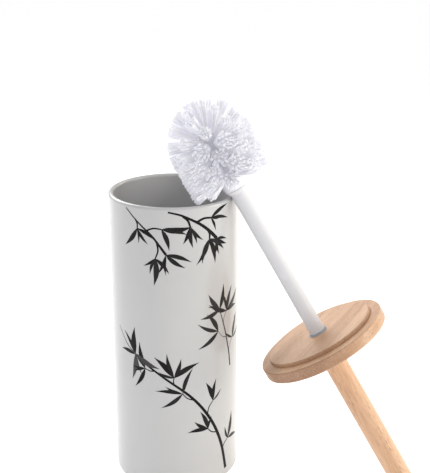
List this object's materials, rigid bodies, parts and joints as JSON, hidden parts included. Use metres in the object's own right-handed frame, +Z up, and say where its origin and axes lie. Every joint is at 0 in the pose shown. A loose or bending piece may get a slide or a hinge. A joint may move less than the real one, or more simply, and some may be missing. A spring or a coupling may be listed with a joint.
{
  "type": "toilet brush holder",
  "caption": "Round white ceramic toilet brush holder with a wooden-lidded brush leaning upside down across its rim, round bristle head over the open mouth.",
  "frame": {"origin": "centre of the holder's flat underside, on the floor it stands on", "axes": "+Z up along the holder's axis, +X towards the handle end of the leaning brush, so the brush leans in a plane parallel to XZ"},
  "size_m": [0.248, 0.1126, 0.309],
  "materials": {
    "glaze": "gloss",
    "wood": "satin",
    "brass": "satin",
    "steel": "satin",
    "plastic": "satin",
    "washer": "matte",
    "bristle": "satin"
  },
  "bodies": {
    "holder": {"holder_body": "glaze"},
    "brush": {"lid": "wood", "handle": "wood", "handle_insert": "brass", "stud": "steel", "stem": "plastic", "stem_washer": "washer"},
    "head": {"head_core": "plastic", "tuft_ring_1": "bristle", "tuft_ring_2": "bristle", "tuft_ring_3": "bristle", "tuft_ring_4": "bristle", "tip_tufts_outer": "bristle", "tip_tufts_middle": "bristle", "tip_tufts_inner": "bristle", "tip_tuft_centre": "bristle", "tuft_anchors": "steel"}
  },
  "joints": [
    {"name": "brush_lift", "type": "slide", "parent": "holder", "child": "brush", "axis": [0, 0, 1], "range_m": [0, 0.26]},
    {"name": "head_unscrew", "type": "hinge", "parent": "brush", "child": "head", "pos_m": [0.0513, -0.0116, 0.24207], "axis": [-0.5063, 0, 0.8624], "range_deg": [0, 720]}
  ]
}
